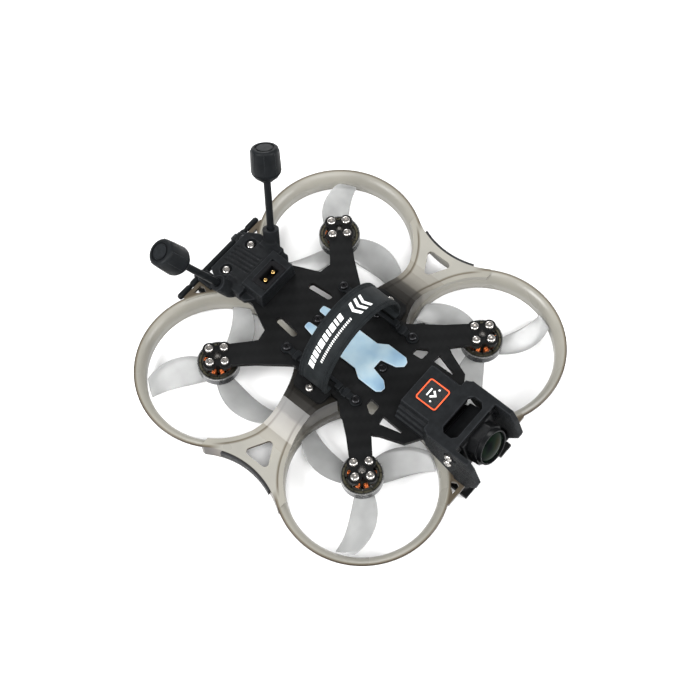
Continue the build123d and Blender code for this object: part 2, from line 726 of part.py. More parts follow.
def camera_cage():
    """Soft printed cage: stepped block on the front tongue, roof, window and cheeks."""
    top = cage_top
    steps = [(10.2, top), (10.6, 33.4), (11.8, 33.2), (12.0, 30.4), (13.0, 30.2), (13.2, 27.4),
             (14.0, 27.2), (14.0, plate_top)]
    section = [(x, 0, z) for x, z in steps] + [(-x, 0, z) for x, z in reversed(steps)]
    face = make_face(Polyline(*section, close=True).edges())
    rear_block = Pos(0, -36.0, 0) * extrude(face, 18.5, dir=(0, -1, 0))
    roof = slab(polygon([(-10.2, -50.5), (10.2, -50.5), (cheek_outer, -55.5), (cheek_outer, -66.9),
                         (-cheek_outer, -66.9), (-cheek_outer, -55.5)]), top - cage_skin, cage_skin)
    shoulder = slab(polygon([(-13.8, -51.0), (13.8, -51.0), (cheek_outer, -54.2),
                             (-cheek_outer, -54.2)]), plate_top, top - plate_top)
    made = rear_block + roof + shoulder
    made -= block((-8.0, 8.0), (-60, -38.4), (plate_top - 1, top - cage_skin))
    made += both_sides(cage_cheek())
    window = polygon([(-10.2, -58.4), (-8.2, -56.6), (8.2, -56.6), (10.2, -58.4), (10.2, -62.2),
                      (8.2, -64.0), (-8.2, -64.0), (-10.2, -62.2)])
    made -= slab(window, top - cage_skin - 1, cage_skin + 2)
    for cutter in cage_cutters():
        made -= cutter
    made -= Pos(0, pivot_y, pivot_z) * Rot(0, 90, 0) * Cylinder(bezel_swing, 2 * camera_half)
    feet = block((cheek_inner - 4.3, cheek_outer), (-76.2, -69.6), (duct_top + 0.2, duct_top + 2.4))
    for foot in both_sides(feet):
        made += foot
    for x, y in lug_spots():
        made -= rod(x, y, 0, 20, m2_clear_r)
        made -= rod(x, y, duct_top + 2.4, duct_top + 7.4, m2_head_r + 0.3)
    made -= block((-20, 20), (-54.9, -30), (0, plate_top))
    return made


def in_camera(shape):
    """Place a shape drawn about the pivot, looking level, into the pitched camera."""
    return Pos(0, pivot_y, pivot_z) * Rot(-camera_pitch, 0, 0) * shape


def lock_spot():
    """Lock screw in the level camera, upright over the pivot once pitched."""
    lean = math.radians(camera_pitch)
    return -lock_reach * math.sin(lean), lock_reach * math.cos(lean)


def camera_body():
    body = block((-camera_half, camera_half), (-5.0, 7.0), (-7.0, 7.0))
    body = fillet(body.edges().filter_by(Axis.X), 1.2)
    body += Rot(0, 90, 0) * Cylinder(2.6, 2 * (cheek_inner - 0.1))
    lock_y, lock_z = lock_spot()
    body += Pos(0, lock_y, lock_z) * Rot(0, 90, 0) * Cylinder(1.9, 2 * (cheek_inner - 0.1))
    body -= Rot(0, 90, 0) * Cylinder(m2_shank_r, 40)
    body -= Pos(0, lock_y, lock_z) * Rot(0, 90, 0) * Cylinder(m2_shank_r, 40)
    body += Rot(0, 90, 0) * Cylinder(m2_shank_r, 14)
    body -= Pos(0, -4.0, 0) * Rot(90, 0, 0) * Cylinder(4.0, 3.0)
    return in_camera(body)


def lens_barrel():
    """Faceted bezel and round barrel, open at the front for the glass."""
    bezel = chamfer(Rectangle(16.6, 16.6).vertices(), 4.2)
    bezel = Rot(90, 0, 0) * slab(bezel, 5.0, 4.6)
    barrel = Pos(0, -10.6, 0) * Rot(90, 0, 0) * Cylinder(8.0, 2.4)
    mouth = Pos(0, -10.9, 0) * Rot(90, 0, 0) * Cylinder(7.3, 2.2)
    return in_camera(bezel + barrel - mouth)


def lens_glass():
    """Wide-angle front element, a shallow dome."""
    disc = Pos(0, -10.3, 0) * Rot(90, 0, 0) * Cylinder(7.2, 0.9)
    ball_r = 15.6
    dome = Pos(0, -10.7 + 13.8, 0) * Sphere(ball_r)
    dome = dome & (Pos(0, -11.6, 0) * Rot(90, 0, 0) * Cylinder(7.2, 2.0))
    return in_camera(disc + dome)


def camera_screws():
    made = []
    lock_y, lock_z = lock_spot()
    for x in (-1, 1):
        for y, z in ((0, 0), (lock_y, lock_z)):
            place = Pos(x * cheek_outer + x * 0.05, y, z) * Rot(0, x * 90, 0)
            made.append(in_camera(place * button_screw(6.0)))
    return made


# ---- screws ------------------------------------------------------------------
def steel_screws():
    """Bright screws: motors, duct tabs, rear mount and belly."""
    made = []
    for side_x, side_y, _, _ in motors.values():
        for turn in range(4):
            angle = math.radians(90 * turn)
            x = side_x * motor_half + motor_screw_r * math.cos(angle)
            y = side_y * motor_half + motor_screw_r * math.sin(angle)
            made.append(Pos(x, y, plate_top) * button_screw(4.6))
    for x in (-tab_x, tab_x):
        made.append(Pos(x, 0, plate_top) * button_screw(4.0))
    for x in (-mount_screw_x, mount_screw_x):
        made.append(Pos(x, mount_screw_y, plate_top + 1.4) * button_screw(3.8))
    return made


def black_screws():
    """Black screws: boards, strap rails and duct lugs."""
    made = [Pos(x, y, plate_top) * button_screw(6.0) for x, y in stack_spots()]
    for x in (-rail_x, rail_x):
        for y in rail_ends:
            made.append(Pos(x, y, plate_top + 1.6) * button_screw(4.0))
    for x, y in lug_spots():
        made.append(Pos(x, y, duct_top + (2.4 if y < 0 else 2.6)) * button_screw(8.0))
    return made


# ---- assembly ----------------------------------------------------------------
nodes["top_plate"] = top_plate()
nodes["belly_plate"] = belly_plate()
nodes["posts"] = posts()
nodes["duct_left"] = duct_half()
nodes["duct_right"] = mirror(nodes["duct_left"], Plane.YZ)
nodes["edge_strips"] = both_sides(edge_strip())
nodes["battery_pad"] = battery_pad()
nodes["battery_strap"] = battery_strap()
nodes["strap_rails"] = both_sides(strap_rail())
nodes["steel_screws"] = steel_screws()
nodes["black_screws"] = black_screws()
nodes["flight_board"] = flight_board()
nodes["video_unit"] = video_unit()
nodes["capacitor"] = capacitor()
nodes["motor_wires"] = motor_wires()
nodes["battery_leads"] = battery_leads()
nodes["rear_mount"] = rear_mount()
nodes["plug_housing"] = plug_housing()
nodes["plug_pins"] = plug_pins()
nodes["antenna_left"] = antenna()
nodes["antenna_right"] = mirror(nodes["antenna_left"], Plane.YZ)
nodes["receiver_rod"] = receiver_rod()
nodes["camera_cage"] = camera_cage()
nodes["camera_body"] = camera_body()
nodes["lens_barrel"] = lens_barrel()
nodes["lens_glass"] = lens_glass()
nodes["camera_screws"] = camera_screws()
nodes["motor_bearings"] = []
for name, (side_x, side_y, spin, heading) in motors.items():
    x = side_x * motor_half
    y = side_y * motor_half
    nodes["motor_bearings"] += bearings(x, y)
    nodes["motor_base_" + name] = motor_base(x, y)
    nodes["stator_" + name] = stator(x, y)
    nodes["windings_" + name] = windings(x, y)
    nodes["bell_" + name] = bell(x, y)
    nodes["magnets_" + name] = magnets(x, y)
    nodes["shaft_" + name] = shaft(x, y)
    nodes["prop_" + name] = propeller(x, y, spin, heading)
    nodes["prop_screws_" + name] = propeller_screws(x, y)

os.makedirs("parts", exist_ok=True)
for name, shape in nodes.items():
    if isinstance(shape, list):
        shape = Compound(children=[piece for part in shape for piece in part.solids()])
    export_step(shape, "parts/" + name + ".step")
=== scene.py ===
import json
import math

import bpy
import bmesh
from mathutils import Matrix, Vector


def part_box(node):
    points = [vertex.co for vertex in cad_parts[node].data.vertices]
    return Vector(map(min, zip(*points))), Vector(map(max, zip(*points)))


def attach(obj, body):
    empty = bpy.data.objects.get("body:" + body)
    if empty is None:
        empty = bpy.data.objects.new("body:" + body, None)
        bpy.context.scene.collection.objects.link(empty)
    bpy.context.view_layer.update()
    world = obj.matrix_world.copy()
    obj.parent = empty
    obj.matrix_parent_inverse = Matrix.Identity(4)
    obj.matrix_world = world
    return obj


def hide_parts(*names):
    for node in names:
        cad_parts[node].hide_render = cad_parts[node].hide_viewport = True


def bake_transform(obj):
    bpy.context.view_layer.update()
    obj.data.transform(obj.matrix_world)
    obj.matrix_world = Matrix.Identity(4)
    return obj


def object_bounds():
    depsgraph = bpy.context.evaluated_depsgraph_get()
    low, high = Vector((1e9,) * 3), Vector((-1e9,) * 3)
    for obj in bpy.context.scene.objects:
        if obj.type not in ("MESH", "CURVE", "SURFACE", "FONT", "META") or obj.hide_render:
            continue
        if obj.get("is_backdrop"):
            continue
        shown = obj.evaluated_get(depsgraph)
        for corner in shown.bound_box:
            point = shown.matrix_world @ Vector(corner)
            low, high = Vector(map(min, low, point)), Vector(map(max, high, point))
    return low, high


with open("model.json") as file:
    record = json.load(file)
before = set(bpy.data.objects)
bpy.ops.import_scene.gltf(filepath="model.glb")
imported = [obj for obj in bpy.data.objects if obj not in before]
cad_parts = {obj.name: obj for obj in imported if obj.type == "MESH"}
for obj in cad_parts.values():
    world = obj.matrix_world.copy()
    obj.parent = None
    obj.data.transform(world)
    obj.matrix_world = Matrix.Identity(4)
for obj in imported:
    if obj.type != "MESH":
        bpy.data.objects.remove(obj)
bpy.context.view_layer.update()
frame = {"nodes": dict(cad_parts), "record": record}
nodes = frame["nodes"]
scene = bpy.context.scene
scene.view_settings.view_transform = "Standard"
MM = 0.001
motor_reach = 40.2

# ---- camera, light and floor ---------------------------------------------------
camera_data = bpy.data.cameras.new("camera")
camera_data.sensor_width = 36.0
camera_data.lens = 78.34
camera = bpy.data.objects.new("camera", camera_data)
scene.collection.objects.link(camera)
right = Vector((0.6443, -0.7647, -0.0144)).normalized()
back = Vector((-0.3077, -0.2764, 0.9105)).normalized()
up = back.cross(right).normalized()
right = up.cross(back).normalized()
camera.matrix_world = Matrix.Translation((-0.2016, -0.1809, 0.6146)) @ Matrix(
    (right, up, back)).transposed().to_4x4()
scene.camera = camera

world = bpy.data.worlds.new("studio")
world.use_nodes = True
world.node_tree.nodes["Background"].inputs["Color"].default_value = (1.0, 1.0, 1.0, 1.0)
world.node_tree.nodes["Background"].inputs["Strength"].default_value = 0.42
scene.world = world


def area_light(name, place, size, power, aim=(0.0, 0.0, 0.02)):
    """A square soft box that faces the object."""
    data = bpy.data.lights.new(name, "AREA")
    data.shape = "SQUARE"
    data.size = size
    data.energy = power
    light = bpy.data.objects.new(name, data)
    scene.collection.objects.link(light)
    light.location = place
    light.rotation_euler = (Vector(aim) - Vector(place)).to_track_quat("-Z", "Y").to_euler()


area_light("key", (-1.0, 0.45, 0.95), 0.6, 24.0)
area_light("fill", (0.6, -1.2, 0.85), 0.7, 20.0)
area_light("rim", (0.95, 1.1, 0.7), 0.6, 16.0)
area_light("top", (-0.45, -0.6, 1.6), 1.0, 26.0)


# ---- materials -----------------------------------------------------------------
class Look:
    """A Principled material and the nodes that give it its detail.

    Textures take object coordinates in millimetres, so they keep the object's scale."""

    def __init__(self, name, color=(0.5, 0.5, 0.5), rough=0.5, **sockets):
        self.material = bpy.data.materials.new(name)
        self.material.use_nodes = True
        self.tree = self.material.node_tree
        self.shader = self.tree.nodes["Principled BSDF"]
        self.socket("Base Color").default_value = (*color, 1.0)
        self.socket("Roughness").default_value = rough
        for key, value in sockets.items():
            self.socket(key.replace("_", " ")).default_value = value

    def socket(self, name):
        return self.shader.inputs[name]

    def add(self, kind, inputs=(), **settings):
        node = self.tree.nodes.new("ShaderNode" + kind)
        for key, value in settings.items():
            setattr(node, key, value)
        for key, value in dict(inputs).items():
            if isinstance(value, bpy.types.NodeSocket):
                self.tree.links.new(value, node.inputs[key])
            else:
                node.inputs[key].default_value = value
        return node

    def link(self, output, name):
        self.tree.links.new(output, self.socket(name))

    def place(self, scale=(1.0, 1.0, 1.0), turn=(0.0, 0.0, 0.0), attribute=None):
        if attribute:
            source = self.add("Attribute", attribute_name=attribute).outputs["Vector"]
        else:
            source = self.add("TexCoord").outputs["Object"]
        big = tuple(s / MM for s in scale)
        return self.add("Mapping", {"Vector": source, "Scale": big, "Rotation": turn}).outputs[0]

    def noise(self, scale, detail=3.0, vector=None, roughness=0.55):
        node = self.add("TexNoise", {"Vector": vector or self.place(), "Scale": scale,
                                     "Detail": detail, "Roughness": roughness})
        return node.outputs["Fac"]

    def cells(self, scale, feature="F1", vector=None):
        node = self.add("TexVoronoi", {"Vector": vector or self.place(), "Scale": scale},
                        feature=feature)
        return node.outputs["Distance"]

    def math(self, operation, a, b=0.0, clamp=False):
        return self.add("Math", {0: a, 1: b}, operation=operation, use_clamp=clamp).outputs[0]

    def split(self, vector=None):
        return self.add("SeparateXYZ", {0: vector or self.place()}).outputs

    def ramp(self, value, stops, interpolation="LINEAR"):
        node = self.add("ValToRGB", {0: value})
        node.color_ramp.interpolation = interpolation
        elements = node.color_ramp.elements
        while len(elements) > 1:
            elements.remove(elements[-1])
        elements[0].position = stops[0][0]
        elements[0].color = (*stops[0][1], 1.0)
        for place, color in stops[1:]:
            elements.new(place).color = (*color, 1.0)
        return node.outputs["Color"]

    def scale_range(self, value, low, high, from_low=0.0, from_high=1.0):
        inputs = {0: value, 1: from_low, 2: from_high, 3: low, 4: high}
        return self.add("MapRange", inputs).outputs[0]

    def mix(self, factor, a, b, blend="MIX"):
        node = self.add("Mix", data_type="RGBA", blend_type=blend)
        for index, value in ((0, factor), (6, a), (7, b)):
            if isinstance(value, bpy.types.NodeSocket):
                self.tree.links.new(value, node.inputs[index])
            elif index == 0:
                node.inputs[index].default_value = value
            else:
                node.inputs[index].default_value = (*value, 1.0)
        return node.outputs[2]

    def bump(self, height, distance, strength=1.0):
        """Adds a bump, depth in millimetres, over any bump before it."""
        inputs = {"Height": height, "Distance": distance * MM, "Strength": strength}
        if self.socket("Normal").is_linked:
            inputs["Normal"] = self.socket("Normal").links[0].from_socket
        self.link(self.add("Bump", inputs).outputs[0], "Normal")

    def shades(self, scale, dark, light):
        """Colour that drifts between two shades."""
        color = self.ramp(self.noise(scale, 4.0), [(0.35, dark), (0.65, light)])
        self.link(color, "Base Color")
        return color

    def worn_rough(self, scale, low, high):
        """Roughness that drifts between two values."""
        drift = self.noise(scale, 4.0)
        self.link(self.scale_range(drift, low, high, 0.3, 0.7), "Roughness")

    def motor_distance(self):
        """Distance of a point from the nearest motor axis, and its X and Y parts."""
        x, y = self.split()[:2]
        off_x = self.math("SUBTRACT", self.math("ABSOLUTE", x), motor_reach)
        off_y = self.math("SUBTRACT", self.math("ABSOLUTE", y), motor_reach)
        square = self.math("ADD", self.math("POWER", off_x, 2.0), self.math("POWER", off_y, 2.0))
        return self.math("SQRT", square), off_x, off_y

    def lighten_convex_edges(self, color, edge_tint, width=0.04):
        """Lightens convex edges."""
        point = self.add("NewGeometry").outputs["Pointiness"]
        amount = self.scale_range(point, 0.0, 1.0, 0.5 + width * 0.4, 0.5 + width * 2.0)
        broken = self.scale_range(self.noise(0.9), 0.3, 1.0, 0.35, 0.6)
        patch = self.math("MULTIPLY", amount, broken)
        self.link(self.mix(patch, color, edge_tint), "Base Color")


def tint(color, factor):
    return tuple(min(1.0, c * factor) for c in color)


def carbon_look():
    """Matt woven carbon: a faint two-by-two twill of 2 mm tows under a satin resin."""
    look = Look("carbon_twill", rough=0.46, Specular_IOR_Level=0.11)
    x, y = look.split(look.place((0.5, 0.5, 0.5)))[:2]
    step = look.math("ADD", look.math("FLOOR", x), look.math("FLOOR", y))
    phase = look.math("FLOORED_MODULO", step, 4.0)
    over = look.math("LESS_THAN", phase, 2.0)
    arch_x = look.math("SINE", look.math("MULTIPLY", look.math("FRACT", x), math.pi))
    arch_y = look.math("SINE", look.math("MULTIPLY", look.math("FRACT", y), math.pi))
    warp = look.math("MULTIPLY", arch_x, over)
    weft = look.math("MULTIPLY", arch_y, look.math("SUBTRACT", 1.0, over))
    tow = look.math("ADD", warp, weft)
    strands = look.noise(3.0, 2.0, look.place((1.0, 7.0, 1.0)))
    color = look.mix(over, (0.0030, 0.0032, 0.0034), (0.0036, 0.0038, 0.0040))
    drift = look.ramp(look.noise(0.12, 5.0), [(0.3, (0.8, 0.8, 0.8)), (0.7, (1.25, 1.25, 1.25))])
    color = look.mix(1.0, color, drift, "MULTIPLY")
    look.link(color, "Base Color")
    strand_gloss = look.math("MULTIPLY", strands, 0.12)
    gloss = look.math("ADD", look.math("MULTIPLY", over, 0.05), strand_gloss)
    look.link(look.math("ADD", gloss, 0.40), "Roughness")
    look.bump(tow, 0.012, 0.4)
    look.bump(look.noise(6.0, 2.0), 0.008, 0.6)
    return look.material


def smoke_look():
    """Smoky moulded plastic: pale inside the mouth and brown outside, partly its own tone and
    partly painted light and shade; brown where it is thick; painted shade where the web rises under
    the top plate, and a painted shadow of the plate next to the tabs.
    """
    look = Look("smoke_plastic", rough=0.3, IOR=1.5, Specular_IOR_Level=0.3)
    x, y, z = look.split()
    sign_x = look.math("SIGN", x)
    sign_y = look.math("SIGN", y)
    reach, off_x, off_y = look.motor_distance()
    face = look.split(look.add("NewGeometry").outputs["Normal"])
    out_x = look.math("MULTIPLY", look.math("MULTIPLY", off_x, sign_x), face[0])
    out_y = look.math("MULTIPLY", look.math("MULTIPLY", off_y, sign_y), face[1])
    outward = look.math("DIVIDE", look.math("ADD", out_x, out_y), reach)
    pale, brown = (0.212, 0.205, 0.180), (0.088, 0.071, 0.053)
    # Pale on faces turned towards the motor axis, brown on faces turned away: partly the plastic's
    # tone, partly painted light and shade.
    side = look.ramp(look.scale_range(outward, 0.0, 1.0, -1.0, 1.0),
                     [(0.0, tint(pale, 1.05)), (0.5, pale), (0.62, (0.155, 0.14, 0.115)),
                      (0.8, brown), (1.0, tint(brown, 0.8))])
    on_web = look.scale_range(look.math("ABSOLUTE", y), 1.0, 0.0, 15.0, 19.0)
    rim = look.scale_range(reach, 0.0, 1.0, 34.0, 38.0)
    lip = look.ramp(rim, [(0.50, (1.0, 1.0, 1.0)), (0.62, (0.60, 0.55, 0.48)),
                          (0.8, (0.30, 0.25, 0.20))])
    bead = look.ramp(rim, [(0.22, (1.0, 1.0, 1.0)), (0.33, (0.36, 0.31, 0.26)),
                           (0.44, (0.60, 0.57, 0.52)), (0.58, (1.08, 1.09, 1.12))])
    color = look.mix(1.0, side, look.mix(on_web, lip, bead), "MULTIPLY")
    foot = look.ramp(look.scale_range(z, 0.0, 1.0, 3.0, 4.0),
                     [(0.0, (0.30, 0.26, 0.22)), (0.5, (0.6, 0.57, 0.54)), (1.0, (1.0, 1.0, 1.0))])
    color = look.mix(1.0, color, foot, "MULTIPLY")
    # Painted shade: darker with height from 15 to 22 mm, where the web runs up under the top plate.
    rise = look.ramp(look.scale_range(z, 0.0, 1.0, 15.0, 22.0),
                     [(0.0, (1.0, 1.0, 1.0)), (0.40, (0.74, 0.73, 0.72)),
                      (0.62, (0.30, 0.29, 0.28)), (1.0, (0.14, 0.135, 0.13))])
    color = look.mix(1.0, color, rise, "MULTIPLY")
    # Painted shadow of the top plate on the web next to the tabs, with a wavy edge.
    ripple = look.math("MULTIPLY", look.noise(0.25, 2.0), 1.5)
    from_middle = look.math("ADD", look.math("ABSOLUTE", x), ripple)
    near_tab = look.scale_range(from_middle, 0.0, 1.0, 34.0, 52.0)
    plate_shadow = look.ramp(near_tab, [(0.0, (0.20, 0.185, 0.17)), (0.27, (0.34, 0.32, 0.30)),
                                 (0.35, (0.24, 0.225, 0.21)), (0.42, (0.58, 0.56, 0.54)),
                                 (1.0, (1.0, 1.0, 1.0))])
    plate_shadowed = look.mix(1.0, color, plate_shadow, "MULTIPLY")
    color = look.mix(look.math("MULTIPLY", on_web, 0.9), color, plate_shadowed)
    haze = look.ramp(look.noise(0.05, 3.0), [(0.3, (0.90, 0.90, 0.90)), (0.7, (1.06, 1.05, 1.03))])
    look.link(look.mix(1.0, color, haze, "MULTIPLY"), "Base Color")
    look.link(look.scale_range(look.noise(0.05, 1.0), 0.25, 0.36, 0.3, 0.7), "Roughness")
    return look.material


def blade_look():
    """Clear grey polycarbonate, with a slight haze and painted dark edges standing for refraction
    at the rims.
    """
    look = Look("clear_grey_plastic", (0.5, 0.52, 0.52), 0.16, IOR=1.42, Transmission_Weight=0.6,
                Specular_IOR_Level=0.5)
    drift = look.noise(0.1, 2.0)
    color = look.ramp(drift, [(0.3, (0.39, 0.395, 0.39)), (0.7, (0.49, 0.495, 0.49))])
    # Painted shade: convex edges darkened, standing for the dark refraction along the clear edges.
    point = look.add("NewGeometry").outputs["Pointiness"]
    rim = look.scale_range(point, 0.0, 0.75, 0.54, 0.62)
    look.link(look.mix(rim, color, (0.13, 0.13, 0.13)), "Base Color")
    look.worn_rough(0.8, 0.12, 0.26)
    look.bump(look.noise(0.9, 2.0), 0.015, 0.3)
    return look.material


def alloy_look():
    """Black anodised aluminium with turning marks."""
    look = Look("black_anodised", (0.02, 0.02, 0.022), 0.34, Metallic=0.8)
    look.shades(1.5, (0.016, 0.016, 0.018), (0.032, 0.032, 0.035))
    rings = look.noise(3.0, 3.0, look.place((0.15, 0.15, 6.0)))
    look.link(look.scale_range(rings, 0.24, 0.46, 0.3, 0.7), "Roughness")
    look.bump(rings, 0.01, 0.5)
    return look.material


def moulded_look(name, color, rough, grain=3.0, specular=0.35, depth=0.03):
    """Matt moulded plastic or rubber: fine grain, shade drift, lighter convex edges."""
    look = Look(name, color, rough, Specular_IOR_Level=specular)
    shade = look.shades(0.25, tint(color, 0.85), tint(color, 1.2))
    look.lighten_convex_edges(shade, tint(color, 2.0))
    look.worn_rough(0.7, rough - 0.08, rough + 0.08)
    look.bump(look.noise(grain, 3.0), depth, 0.6)
    return look.material


def printed_look(name, color, rough, layer=0.22):
    """Flexible printed plastic: stacked layers, faint surface fuzz and lighter convex edges."""
    look = Look(name, color, rough, Specular_IOR_Level=0.06)
    shade = look.shades(0.3, tint(color, 0.8), tint(color, 1.2))
    look.lighten_convex_edges(shade, tint(color, 4.0))
    z = look.split()[2]
    wobble = look.math("MULTIPLY", look.noise(0.5, 2.0), 0.12)
    level = look.math("MULTIPLY", look.math("ADD", z, wobble), 2 * math.pi / layer)
    look.bump(look.math("SINE", level), 0.014, 0.6)
    look.bump(look.noise(5.0, 3.0), 0.02, 0.5)
    look.worn_rough(0.8, rough - 0.07, rough + 0.1)
    return look.material


def steel_look(name, color, low, high):
    """Machined screw steel: fine brushing and small stains."""
    look = Look(name, color, (low + high) / 2, Metallic=1.0)
    look.shades(2.0, tint(color, 0.75), tint(color, 1.1))
    look.worn_rough(2.5, low, high)
    look.bump(look.noise(6.0, 3.0, look.place((1.0, 1.0, 4.0))), 0.006, 0.5)
    return look.material


def bell_look():
    """Gunmetal anodised can with a bright turned rim."""
    look = Look("gunmetal_can", rough=0.28, Metallic=0.9)
    z = look.split()[2]
    reach = look.motor_distance()[0]
    edge = look.scale_range(reach, 0.0, 1.0, 8.6, 8.75)
    rim = look.math("MULTIPLY", edge, look.scale_range(z, 0.0, 1.0, 17.9, 18.0))
    base = look.ramp(look.noise(0.4, 2.0), [(0.3, (0.020, 0.021, 0.024)),
                                            (0.7, (0.034, 0.036, 0.040))])
    look.link(look.mix(rim, base, (0.34, 0.34, 0.33)), "Base Color")
    look.link(look.scale_range(look.noise(0.8), 0.2, 0.3, 0.3, 0.7), "Roughness")
    grooves = look.math("SINE", look.math("MULTIPLY", z, 2 * math.pi / 0.3))
    look.bump(grooves, 0.004, 0.3)
    return look.material


def board_look():
    """Dark solder mask with traces, gold pads and black chips above it."""
    look = Look("circuit_board", rough=0.35, Specular_IOR_Level=0.4)
    z = look.split()[2]
    lines = look.cells(0.9, "DISTANCE_TO_EDGE", look.place((1.0, 1.0, 0.02), (0, 0, math.pi / 4)))
    mask = look.ramp(lines, [(0.02, (0.012, 0.035, 0.02)), (0.06, (0.006, 0.014, 0.01))])
    pads = look.cells(1.4, "F1", look.place((1.0, 1.0, 0.02), (0, 0, math.pi / 4)))
    spot = look.math("LESS_THAN", pads, 0.14)
    board = look.mix(spot, mask, (0.55, 0.38, 0.14))
    chip = look.math("GREATER_THAN", z, 8.55)
    look.link(look.mix(chip, board, (0.012, 0.012, 0.013)), "Base Color")
    look.bump(lines, 0.03, 0.4)
    look.worn_rough(1.5, 0.28, 0.45)
    return look.material


def silicone_look():
    """Cloudy pale blue silicone."""
    look = Look("blue_silicone", rough=0.4, Specular_IOR_Level=0.35, Subsurface_Weight=0.25,
                Subsurface_Scale=0.002)
    look.socket("Subsurface Radius").default_value = (0.4, 0.7, 1.0)
    cloud = look.noise(0.085, 2.5, roughness=0.45)
    color = look.ramp(cloud, [(0.3, (0.135, 0.225, 0.32)), (0.46, (0.21, 0.31, 0.385)),
                              (0.62, (0.28, 0.375, 0.43)), (0.75, (0.36, 0.43, 0.465))])
    point = look.add("NewGeometry").outputs["Pointiness"]
    edge = look.scale_range(point, 0.0, 0.8, 0.51, 0.56)
    look.link(look.mix(edge, color, (0.55, 0.62, 0.66)), "Base Color")
    look.worn_rough(0.5, 0.32, 0.5)
    look.bump(look.noise(1.4, 3.0), 0.02, 0.4)
    return look.material


def webbing_look():
    """Woven strap: fine ribs across and along, with a dull nylon sheen."""
    color = (0.0105, 0.0122, 0.0132)
    look = Look("strap_webbing", color, 0.7, Sheen_Weight=0.01, Sheen_Roughness=0.4,
                Specular_IOR_Level=0.05)
    x, y = look.split(look.place(attribute="lay"))[:2]
    warp = look.math("SINE", look.math("MULTIPLY", y, 2 * math.pi / 0.42))
    weft = look.math("SINE", look.math("MULTIPLY", x, 2 * math.pi / 0.6))
    weave = look.math("MULTIPLY", warp, weft)
    edge = look.scale_range(look.math("ABSOLUTE", y), 0.0, 1.0, 4.9, 5.3)
    drift = look.ramp(look.noise(0.25, 4.0), [(0.3, tint(color, 0.85)), (0.7, tint(color, 1.35))])
    threads = look.ramp(weave, [(0.0, (0.75, 0.75, 0.75)), (0.8, (1.5, 1.5, 1.5))])
    woven = look.mix(1.0, drift, threads, "MULTIPLY")
    look.link(look.mix(edge, drift, woven), "Base Color")
    look.bump(look.math("MULTIPLY", weave, edge), 0.06, 0.7)
    look.bump(look.noise(4.0, 3.0), 0.02, 0.5)
    look.link(look.scale_range(edge, 0.55, 0.78), "Roughness")
    return look.material


def gloss_look(name, color, rough, **sockets):
    """Smooth lacquer or sleeve: soft ripple and fingerprints."""
    look = Look(name, color, rough, **sockets)
    look.shades(0.6, tint(color, 0.85), tint(color, 1.15))
    look.worn_rough(0.9, max(0.04, rough - 0.06), rough + 0.08)
    look.bump(look.noise(0.9, 2.0), 0.015, 0.3)
    return look.material


def glass_look():
    """Dark coated front element, with the green and amber of its coating painted into the colour as
    a painted reflection.
    """
    look = Look("lens_glass", rough=0.05, IOR=1.5, Specular_IOR_Level=0.015)
    # Painted reflection: patches of the coating's green and amber in the base colour.
    coating_reflection_patches = look.noise(0.16, 1.0)
    look.link(look.ramp(coating_reflection_patches, [(0.35, (0.0015, 0.0022, 0.0025)), (0.55, (0.003, 0.007, 0.004)),
                               (0.7, (0.006, 0.007, 0.002))]), "Base Color")
    look.link(look.scale_range(look.noise(1.5), 0.02, 0.06, 0.3, 0.7), "Roughness")
    return look.material


looks = {
    "carbon": carbon_look(),
    "black_alloy": alloy_look(),
    "smoke_plastic": smoke_look(),
    "black_foam": moulded_look("edge_strip_rubber", (0.012, 0.012, 0.013), 0.62, 4.0, 0.25),
    "blue_silicone": silicone_look(),
    "strap_webbing": webbing_look(),
    "charcoal_rubber": moulded_look("charcoal_rubber", (0.0062, 0.0070, 0.0078), 0.40, 3.0, 0.07),
    "charcoal_print": printed_look("charcoal_print", (0.0078, 0.0086, 0.0095), 0.52),
    "bright_steel": steel_look("bright_steel", (0.46, 0.44, 0.42), 0.16, 0.30),
    "black_steel": steel_look("black_steel", (0.03, 0.03, 0.032), 0.25, 0.42),
    "circuit_board": board_look(),
    "capacitor_sleeve": gloss_look("capacitor_sleeve", (0.012, 0.012, 0.035), 0.25),
    "wire_silicone": gloss_look("wire_silicone", (0.008, 0.008, 0.0085), 0.45,
                                Specular_IOR_Level=0.1),
    "lead_silicone": gloss_look("lead_silicone", (0.30, 0.012, 0.010), 0.4),
    "black_nylon": moulded_look("black_nylon", (0.004, 0.004, 0.0044), 0.4, 5.0, 0.08),
    "gold": steel_look("gold_plate", (0.85, 0.55, 0.20), 0.12, 0.28),
    "camera_shell": moulded_look("camera_shell", (0.0045, 0.0048, 0.0052), 0.36, 5.0, 0.08),
    "lens_glass": glass_look(),
    "stator_steel": steel_look("stator_laminations", (0.07, 0.07, 0.06), 0.35, 0.5),
    "copper_wire": gloss_look("enamelled_copper", (0.50, 0.13, 0.035), 0.24, Metallic=0.75),
    "gunmetal": bell_look(),
    "magnet_nickel": steel_look("magnet_nickel", (0.16, 0.15, 0.105), 0.28, 0.36),
    "clear_grey_plastic": blade_look(),
}


slot_of = {entry["node"]: entry["material_slot"] for entry in frame["record"]["subparts"]}
body_of = {node: body for body, members in frame["record"]["behaviour"]["bodies"].items()
           for node in members}
for node, thing in nodes.items():
    thing.data.materials.clear()
    thing.data.materials.append(looks[slot_of[node]])


